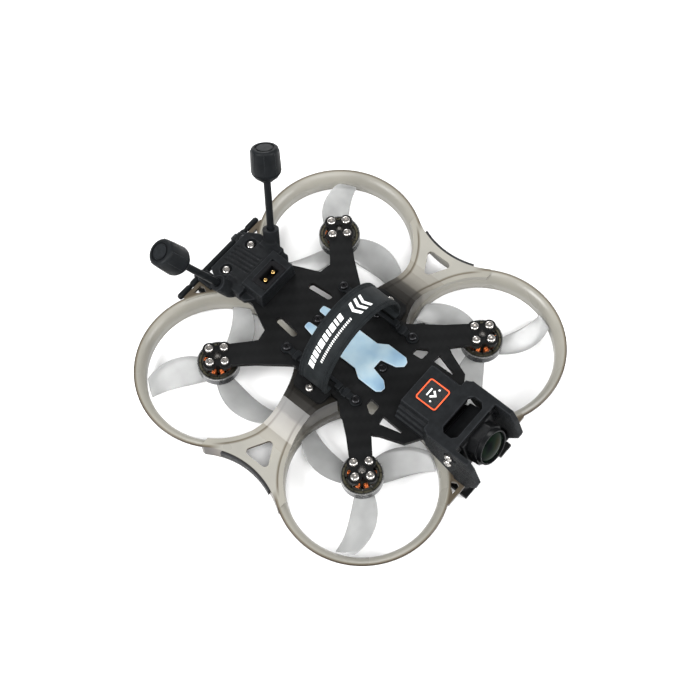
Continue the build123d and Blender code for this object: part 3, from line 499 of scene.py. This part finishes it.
# ---- mesh helpers --------------------------------------------------------------
def piece_from(name, points, faces, look, body, slot=None, smooth=True):
    """A new mesh piece. Points are in millimetres, in the row frame."""
    mesh = bpy.data.meshes.new(name)
    mesh.from_pydata([Vector(p) * MM for p in points], [], faces)
    work = bmesh.new()
    work.from_mesh(mesh)
    bmesh.ops.remove_doubles(work, verts=work.verts, dist=1e-7)
    bmesh.ops.recalc_face_normals(work, faces=work.faces)
    work.to_mesh(mesh)
    work.free()
    mesh.materials.append(look)
    piece = bpy.data.objects.new(name, mesh)
    scene.collection.objects.link(piece)
    mesh.polygons.foreach_set("use_smooth", [smooth] * len(mesh.polygons))
    if body:
        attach(piece, body)
    return piece


def skin(rows, closed=False):
    """Points and faces that join rows of points, each row a closed loop."""
    count = len(rows[0])
    points = [p for row in rows for p in row]
    faces = []
    for r in range(len(rows) if closed else len(rows) - 1):
        here, there = r * count, (r + 1) % len(rows) * count
        for i in range(count):
            j = (i + 1) % count
            faces.append((here + i, here + j, there + j, there + i))
    if not closed:
        last = (len(rows) - 1) * count
        faces.append(tuple(range(count)))
        faces.append(tuple(last + i for i in range(count)))
    return points, faces


def gather(parts):
    """Joins lists of (points, faces) into one."""
    points, faces = [], []
    for more_points, more_faces in parts:
        shift = len(points)
        points += more_points
        faces += [tuple(shift + i for i in face) for face in more_faces]
    return points, faces


def apply_modifiers(piece):
    bpy.context.view_layer.update()
    graph = bpy.context.evaluated_depsgraph_get()
    mesh = bpy.data.meshes.new_from_object(piece.evaluated_get(graph))
    piece.modifiers.clear()
    old = piece.data
    piece.data = mesh
    bpy.data.meshes.remove(old)
    return piece


def softened(node, voxel, passes=3, factor=0.5):
    """Stands for a CAD node with the same shape, its corners softened as moulding does."""
    piece = bpy.data.objects.new(node + "_soft", nodes[node].data.copy())
    scene.collection.objects.link(piece)
    remesh = piece.modifiers.new("remesh", "REMESH")
    remesh.mode = "VOXEL"
    remesh.voxel_size = voxel * MM
    remesh.use_smooth_shade = True
    smooth = piece.modifiers.new("smooth", "SMOOTH")
    smooth.iterations = passes
    smooth.factor = factor
    apply_modifiers(piece)
    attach(piece, body_of[node])
    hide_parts(node)
    return piece


def combined(piece, others, operation):
    """Boolean of a piece with others, which go."""
    for other in others:
        modifier = piece.modifiers.new("join", "BOOLEAN")
        modifier.operation = operation
        modifier.solver = "EXACT"
        modifier.object = other
        apply_modifiers(piece)
        bpy.data.objects.remove(other)
    return piece


def lathe(profile, centre, steps=96):
    """Rows of a turned solid about a vertical axis; the profile is (radius, height)."""
    rows = []
    for i in range(steps):
        angle = 2 * math.pi * i / steps
        rows.append([(centre[0] + r * math.cos(angle), centre[1] + r * math.sin(angle), z)
                     for r, z in profile])
    return skin(rows, closed=True)


def rounded(width, depth, radius, steps=5):
    """Corner points of a rounded rectangle about the origin."""
    points = []
    for k, (sx, sy) in enumerate(((1, 1), (-1, 1), (-1, -1), (1, -1))):
        for i in range(steps + 1):
            angle = math.pi / 2 * (k + i / steps)
            points.append((sx * (width / 2 - radius) + radius * math.cos(angle),
                           sy * (depth / 2 - radius) + radius * math.sin(angle)))
    return points


def tube(path, radius, sides=8, closed=False):
    """A round wire along a list of points."""
    rows = []
    count = len(path)
    for i, p in enumerate(path):
        before = Vector(path[i - 1 if closed else max(i - 1, 0)])
        after = Vector(path[(i + 1) % count if closed else min(i + 1, count - 1)])
        along = (after - before).normalized()
        side = along.cross(Vector((0.3, 0.2, 1.0))).normalized()
        lift = side.cross(along).normalized()
        rows.append([Vector(p) + radius * (math.cos(2 * math.pi * k / sides) * side
                                           + math.sin(2 * math.pi * k / sides) * lift)
                     for k in range(sides)])
    return skin(rows, closed)


plate_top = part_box("top_plate")[1].z / MM
# each motor's sense of turn, and the heading of its first blade in degrees
motors = {
    "rear_left": (1, 34.5),
    "front_left": (-1, -26.0),
    "front_right": (1, -152.0),
    "rear_right": (-1, -96.0),
}


def centre_of(node):
    low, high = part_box(node)
    return (low + high) / 2 / MM


# ---- propellers ----------------------------------------------------------------
hub_r, blade_root, prop_r, prop_mid = 4.6, 3.4, 31.6, 7.9


def blade_rows(spin, heading):
    """Cross-sections of one swept blade, from inside the hub to the rounded tip."""
    profile = []
    for i in range(15):
        share = -0.5 * math.cos(math.pi * i / 14)
        height = 0.5 * (1 - (2 * share) ** 2) ** 0.6 * (1.0 + 0.35 * share)
        profile.append((share, height))
    loop = profile + [(share, -0.8 * height) for share, height in reversed(profile[1:-1])]
    rows = []
    stations = [i / 34 for i in range(34)] + [0.985, 0.996, 1.0]
    for out in stations:
        radius = blade_root + (prop_r - blade_root) * out
        chord = 5.8 + 22.4 * out - 19.6 * out ** 2
        lead = math.radians(18.0 - 2.0 * out - 16.8 * out ** 2)
        pitch = math.radians(30.0 - 15.0 * out)
        thick = 1.45 - 0.75 * out
        if out > 0.98:
            ease = math.sqrt(max(0.0, 1.0 - ((out - 0.97) / 0.03) ** 2)) * 0.7 + 0.3
            thick *= ease
            chord *= 0.9 + 0.1 * ease
        row = []
        for share, height in loop:
            across = share * chord
            rise = across * math.tan(pitch) + height * thick
            along = math.sqrt(radius ** 2 - across ** 2)
            x = along * math.cos(lead) - across * math.sin(lead)
            y = (along * math.sin(lead) + across * math.cos(lead)) * spin
            row.append((x, y, rise))
        rows.append(row)
    turn = Matrix.Rotation(math.radians(heading), 3, "Z")
    return [[turn @ Vector(p) for p in row] for row in rows]


def propeller(name, spin, heading):
    """Three-blade propeller: one smooth solid with its hub."""
    node = "prop_" + name
    low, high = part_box(node)
    shaft = centre_of("shaft_" + name)
    x, y = shaft.x, shaft.y
    top, bottom = high.z / MM, low.z / MM
    bottom = max(bottom, 5.6)
    inner = 0.2
    profile = [(inner, top), (hub_r - 0.5, top), (hub_r - 0.15, top - 0.15), (hub_r, top - 0.5),
               (hub_r, bottom + 0.7), (hub_r - 0.25, bottom + 0.25), (hub_r - 0.8, bottom),
               (inner, bottom)]
    body = body_of[node]
    look = looks["clear_grey_plastic"]
    parts = []
    for index in range(3):
        rows = blade_rows(spin, heading + 120 * index)
        rows = [[(p.x + x, p.y + y, p.z + prop_mid) for p in row] for row in rows]
        parts.append(piece_from(f"{node}_blade{index}", *skin(rows), look, body))
    hub = piece_from(node + "_moulded", *lathe(profile, (x, y), 72), look, body, slot_of[node])
    combined(hub, parts, "UNION")
    holes = []
    for index, (hole_x, hole_y, radius) in enumerate(((0, 0, 0.75), (2.5, 0, 1.0), (-2.5, 0, 1.0))):
        rows = [[(x + hole_x + radius * math.cos(2 * math.pi * k / 32),
                  y + hole_y + radius * math.sin(2 * math.pi * k / 32), z) for k in range(32)]
                for z in (2.0, 14.0)]
        holes.append(piece_from(f"{node}_hole{index}", *skin(rows), look, body))
    combined(hub, holes, "DIFFERENCE")
    hub.data.polygons.foreach_set("use_smooth", [True] * len(hub.data.polygons))
    hub.data.set_sharp_from_angle(angle=math.radians(40))
    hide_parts(node)
    return hub


for name, (spin, heading) in motors.items():
    propeller(name, spin, heading)


# ---- motor windings ------------------------------------------------------------
def windings(name):
    """Enamelled wire wound round each of the nine teeth."""
    node = "windings_" + name
    low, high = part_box(node)
    centre = (low + high) / 2 / MM
    half_height = (high.z - low.z) / MM / 2 - 0.2
    wire = 0.19
    parts = []
    for tooth in range(9):
        turn = Matrix.Rotation(2 * math.pi * tooth / 9, 3, "Z")
        for lap in range(6):
            out = 4.24 + 0.36 * lap
            swell = 0.05 * math.sin(math.pi * (lap + 0.5) / 6)
            outline = rounded(2 * (0.73 + swell), 2 * (half_height - 0.1 + swell), 0.5, 3)
            path = [turn @ Vector((out, p, q)) + centre for p, q in outline]
            parts.append(tube(path, wire, 6, closed=True))
    piece = piece_from(node + "_wound", *gather(parts), looks["copper_wire"], body_of[node],
                       slot_of[node])
    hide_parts(node)


for name in motors:
    windings(name)


# ---- moulded and printed parts ---------------------------------------------------
for node, voxel, passes in (("rear_mount", 0.28, 3), ("camera_cage", 0.28, 2),
                            ("battery_pad", 0.14, 4), ("strap_rails", 0.16, 3),
                            ("edge_strips", 0.16, 3), ("camera_body", 0.2, 3),
                            ("lens_barrel", 0.16, 2)):
    softened(node, voxel, passes)


# ---- antennas ----------------------------------------------------------------------
def spokes(way, count):
    """Directions at right angles to a line, evenly spaced about it."""
    side = way.cross(Vector((0.2, 1.0, 0.1))).normalized()
    lift = side.cross(way).normalized()
    angles = [2 * math.pi * i / count for i in range(count)]
    return [side * math.cos(angle) + lift * math.sin(angle) for angle in angles]


def turned_along(name, start, way, profile, look, body, slot, steps=56):
    """A turned piece about any line; the profile is (radius, distance along the line)."""
    rows = []
    for spoke in spokes(way, steps):
        rows.append([start + way * out + spoke * radius for radius, out in profile])
    return piece_from(name, *skin(rows, closed=True), look, body, slot)


def round_axis(node):
    """The low end, direction and length of a node that is round about one line."""
    points = [v.co / MM for v in nodes[node].data.vertices]
    middle = sum(points, Vector()) / len(points)
    spread = Matrix([[sum((p - middle)[i] * (p - middle)[j] for p in points) for j in range(3)]
                     for i in range(3)])
    way = Vector((0.0, 0.3, 1.0))
    for _ in range(60):
        way = (spread @ way).normalized()
    reach = [(p - middle).dot(way) for p in points]
    return middle + way * min(reach), way, max(reach) - min(reach)


def antenna(node):
    """Coaxial stem, collar and a tapered cap with its seam and crown."""
    start, way, top = round_axis(node)
    profile = [(0.05, 0.0), (1.5, 0.0), (1.6, 0.2), (1.6, top - 16.0), (2.5, top - 15.7),
               (3.1, top - 15.4), (3.2, top - 14.3), (4.7, top - 14.0), (5.1, top - 13.7),
               (6.2, top - 12.1), (6.35, top - 11.8), (6.35, top - 11.6), (6.05, top - 11.45),
               (6.05, top - 11.3), (6.5, top - 11.15), (6.6, top - 10.8), (6.35, top - 5.0),
               (6.1, top - 1.6), (5.95, top - 0.8), (5.5, top - 0.25), (4.8, top - 0.05),
               (4.3, top - 0.05), (4.2, top - 0.5), (3.5, top - 0.5), (3.4, top - 0.05),
               (0.05, top)]
    look = looks[slot_of[node]]
    piece = turned_along(node + "_turned", start, way, profile, look, body_of[node], slot_of[node])
    ribs = []
    for spoke in spokes(way, 8):
        path = [start + way * (top - 10.6 + 9.4 * k / 6) + spoke * (6.44 - 0.34 * k / 6)
                for k in range(7)]
        ribs.append(tube(path, 0.22, 6))
    piece_from(node + "_ribs", *gather(ribs), look, body_of[node], slot_of[node])
    piece.data.set_sharp_from_angle(angle=math.radians(50))
    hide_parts(node)


for node in ("antenna_left", "antenna_right"):
    antenna(node)


def dipole(node):
    """Receiver antenna: two thin arms with thick rounded ends, in a middle sleeve."""
    low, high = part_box(node)
    middle = (low + high) / 2 / MM
    half = (high.x - low.x) / MM / 2
    half_profile = [(1.55, 0.0), (1.55, 16.6), (1.45, 17.2), (1.15, 17.9), (1.05, 18.2),
                    (1.05, half - 7.6), (1.2, half - 7.2), (1.45, half - 6.6), (1.5, half - 1.4),
                    (1.3, half - 0.6), (0.9, half - 0.15), (0.05, half)]
    profile = [(r, -out) for r, out in reversed(half_profile)] + half_profile[1:]
    piece = turned_along(node + "_turned", middle, Vector((1.0, 0.0, 0.0)), profile,
                         looks[slot_of[node]], body_of[node], slot_of[node], 32)
    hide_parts(node)


dipole("receiver_rod")


# ---- camera ribbon -------------------------------------------------------------------
def camera_ribbon():
    """Flat black flex from under the plate towards the camera's back."""
    half_width, half_thick, steps = 9.7, 0.18, 6
    back_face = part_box("camera_body")[1].y / MM
    middle = centre_of("camera_body")
    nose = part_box("top_plate")[0].y / MM
    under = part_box("top_plate")[0].z / MM
    path = [(nose + 9.0, under - 1.2), (nose + 4.0, under - 1.2), (nose + 1.0, under - 0.9),
            (back_face + 2.4, under + 0.8), (back_face + 0.9, under + 3.4),
            (back_face + 0.5, middle.z - 2.6), (back_face + 0.1, middle.z - 1.4)]
    points = []
    for i in range(len(path) - 1):
        before, here = Vector(path[max(i - 1, 0)]), Vector(path[i])
        there, after = Vector(path[i + 1]), Vector(path[min(i + 2, len(path) - 1)])
        for k in range(steps):
            t = k / steps
            points.append(0.5 * (2 * here + (there - before) * t
                                 + (2 * before - 5 * here + 4 * there - after) * t ** 2
                                 + (3 * here - before - 3 * there + after) * t ** 3))
    points.append(Vector(path[-1]))
    rows = []
    for i, p in enumerate(points):
        way = (points[min(i + 1, len(points) - 1)] - points[max(i - 1, 0)]).normalized()
        normal = Vector((-way.y, way.x))
        a, b = p + normal * half_thick, p - normal * half_thick
        sides = (-half_width, 0.0, half_width)
        rows.append([(x, a.x, a.y) for x in sides] + [(x, b.x, b.y) for x in reversed(sides)])
    piece = piece_from("camera_ribbon", *skin(rows), looks["wire_silicone"], None, "wire_silicone")
    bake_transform(piece)


camera_ribbon()


# ---- battery strap ---------------------------------------------------------------
low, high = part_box("battery_strap")
strap_half = high.x / MM - 0.8
strap_top = high.z / MM - 0.8
strap_sole = low.z / MM + 0.8
strap_foot = plate_top + 3.0
strap_edge = high.y / MM


def strap_line():
    """Middle line of the strap, from the left hem over the arch to the right hem."""
    line = [(strap_half - 3.2, strap_sole), (strap_half - 1.4, strap_sole)]
    for i in range(1, 5):
        angle = -math.pi / 2 + math.pi / 2 * i / 5
        line.append((strap_half - 1.0 + math.cos(angle), strap_sole + 1.0 + math.sin(angle)))
    steps = 96
    for i in range(steps + 1):
        angle = math.pi * i / steps
        line.append((strap_half * math.cos(angle),
                     strap_foot + (strap_top - strap_foot) * math.sin(angle)))
    return line + [(-x, z) for x, z in reversed(line[:6])]


class StrapPath:
    """Places points by distance along the strap, across it and out from its middle."""

    def __init__(self, line):
        self.line = [Vector((x, 0.0, z)) for x, z in line]
        self.reach = [0.0]
        for a, b in zip(self.line, self.line[1:]):
            self.reach.append(self.reach[-1] + (b - a).length)
        self.middle = self.reach[-1] / 2

    def at(self, along, across, out):
        """along is measured from the top of the arch, towards -X."""
        s = min(max(along + self.middle, 0.0), self.reach[-1] - 1e-6)
        i = max(k for k in range(len(self.reach) - 1) if self.reach[k] <= s)
        share = (s - self.reach[i]) / (self.reach[i + 1] - self.reach[i])

        def tangent(k):
            k = min(max(k, 1), len(self.line) - 2)
            return (self.line[k + 1] - self.line[k - 1]).normalized()

        way = tangent(i).lerp(tangent(i + 1), share).normalized()
        outward = Vector((0.0, 1.0, 0.0)).cross(way)
        point = self.line[i].lerp(self.line[i + 1], share)
        return point + outward * out + Vector((0.0, across, 0.0))


strap_path = StrapPath(strap_line())
panel_out = 0.42


def strap():
    """Band with a bound, ribbed border on both sides and a printed panel between."""
    half = [(0.0, panel_out), (2.6, panel_out), (4.7, panel_out), (4.95, panel_out - 0.1),
            (5.1, panel_out), (5.35, 0.74), (5.8, 0.8), (6.1, 0.72), (6.25, 0.5), (6.4, 0.5),
            (6.55, 0.72), (6.9, 0.78), (7.25, 0.62), (strap_edge, 0.25), (strap_edge, -0.35),
            (7.3, -0.7), (6.5, -0.78), (3.0, -0.78)]
    loop = half + [(-y, out) for y, out in reversed(half)][:-1]
    loop.insert(len(half), (0.0, -0.78))
    rows, lays = [], []
    count = 190
    for i in range(count + 1):
        along = -strap_path.middle + 2 * strap_path.middle * i / count
        ripple = 0.05 * math.sin(along * 1.9) + 0.03 * math.sin(along * 4.1 + 1.0)
        rows.append([strap_path.at(along, y, out + (ripple if abs(y) > 5 else 0.0))
                     for y, out in loop])
        lays += [(along * MM, y * MM, out * MM) for y, out in loop]
    piece = piece_from("battery_strap_woven", *skin(rows), looks["strap_webbing"],
                       body_of["battery_strap"], slot_of["battery_strap"])
    layer = piece.data.attributes.new("lay", "FLOAT_VECTOR", "POINT")
    layer.data.foreach_set("vector", [c for lay in lays for c in lay])
    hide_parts("battery_strap")
    return piece


strap()


def printed_bars(name, bars, look, slot, raise_by=0.05):
    """Thin printed marks on the strap's panel: (start, end, low, high, slant)."""
    parts = []
    for start, end, low_y, high_y, slant in bars:
        steps = max(2, int((end - start) / 0.6))
        rows = []
        for i in range(steps + 1):
            s = start + (end - start) * i / steps
            rows.append([strap_path.at(s, low_y, panel_out - 0.1),
                         strap_path.at(s - slant, high_y, panel_out - 0.1),
                         strap_path.at(s - slant, high_y, panel_out + raise_by),
                         strap_path.at(s, low_y, panel_out + raise_by)])
        parts.append(skin(rows))
    return piece_from(name, *gather(parts), look, "frame", slot, smooth=False)


white_ink = gloss_look("white_ink", (0.80, 0.81, 0.80), 0.5)
bars = []
place = 0.0
for length in (2.2, 1.2, 2.6, 1.2, 1.8, 3.0, 1.2, 2.2, 1.6, 2.8):
    bars.append((2.5 + place, 2.5 + place + length, 0.6, 3.4, 0.8))
    place += length + 0.75
for index in range(22):
    bars.append((0.8 + index * 1.05, 1.35 + index * 1.05, -2.2, -1.2, 0.2))
for index in range(3):
    start = -9.6 + index * 3.1
    bars.append((start, start + 1.5, 0.0, 3.4, 1.7))
    bars.append((start - 1.7, start - 0.2, -3.4, 0.0, -1.7))
printed_bars("strap_marks", bars, white_ink, "strap_webbing")


# ---- label on the cage roof --------------------------------------------------------
def plate_piece(name, width, depth, radius, centre, bottom, top, look, slot, hole=None):
    """A small rounded plate, with a softened top edge and an optional rounded hole."""
    outline = rounded(width, depth, radius, 6)
    soft = 0.06

    def ring(shape, z, shrink):
        points = []
        for x, y in shape:
            length = math.hypot(x, y)
            points.append((centre[0] + x * (1 - shrink / length),
                           centre[1] + y * (1 - shrink / length), z))
        return points

    rows = [ring(outline, bottom, 0.0), ring(outline, top - soft, 0.0), ring(outline, top, soft)]
    if hole:
        inner = rounded(hole[0], hole[1], hole[2], 6)
        rows += [ring(inner, top, -soft), ring(inner, top - soft, 0.0), ring(inner, bottom, 0.0)]
    points, faces = skin(rows, closed=bool(hole))
    return piece_from(name, points, faces, look, "frame", slot, smooth=False)


cage_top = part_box("camera_cage")[1].z / MM
label_at = (0.0, -44.7)
label_gloss = gloss_look("label_lacquer", (0.010, 0.011, 0.012), 0.3)
label_orange = gloss_look("label_border", (0.75, 0.085, 0.022), 0.4)
plate_piece("cage_label", 11.0, 10.4, 1.2, label_at, cage_top - 0.2, cage_top + 0.22, label_gloss,
            "charcoal_print")
plate_piece("cage_label_border", 11.0, 10.4, 1.2, label_at, cage_top + 0.1, cage_top + 0.34,
            label_orange, "charcoal_print", hole=(9.9, 9.3, 0.8))


def label_glyph():
    """A generic mark: an arrow head over a bar, and two dots."""
    parts = []
    z_low, z_high = cage_top + 0.12, cage_top + 0.28
    shapes = [[(-1.9, 0.2), (0.0, -1.9), (1.9, 0.2), (1.3, 0.75), (0.0, -0.7), (-1.3, 0.75)],
              [(-1.9, 1.6), (1.9, 1.6), (1.9, 2.2), (-1.9, 2.2)]]
    for side in (-1, 1):
        shapes.append([(side * 3.1 + 0.42 * math.cos(math.pi * k / 6),
                        -1.0 + 0.42 * math.sin(math.pi * k / 6)) for k in range(12)])
    for shape in shapes:
        rows = [[(label_at[0] + x, label_at[1] + y, z) for x, y in shape] for z in (z_low, z_high)]
        parts.append(skin(rows))
    return piece_from("cage_label_glyph", *gather(parts), white_ink, "frame", "charcoal_print",
                      smooth=False)


label_glyph()


# ---- floor -------------------------------------------------------------------------
def floor():
    look = Look("pale_floor", (0.9, 0.9, 0.9), 0.9, Specular_IOR_Level=0.1)
    look.shades(0.002, (0.89, 0.89, 0.89), (0.91, 0.91, 0.91))
    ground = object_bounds()[0].z / MM - 0.05
    size, cells = 12000.0, 24
    points = [(-size + 2 * size * i / cells, -size + 2 * size * j / cells, ground)
              for i in range(cells + 1) for j in range(cells + 1)]
    faces = [(i * (cells + 1) + j, (i + 1) * (cells + 1) + j, (i + 1) * (cells + 1) + j + 1,
              i * (cells + 1) + j + 1) for i in range(cells) for j in range(cells)]
    mesh = bpy.data.meshes.new("floor")
    mesh.from_pydata([Vector(p) * MM for p in points], [], faces)
    mesh.materials.append(look.material)
    thing = bpy.data.objects.new("floor", mesh)
    scene.collection.objects.link(thing)
    thing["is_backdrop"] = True


floor()
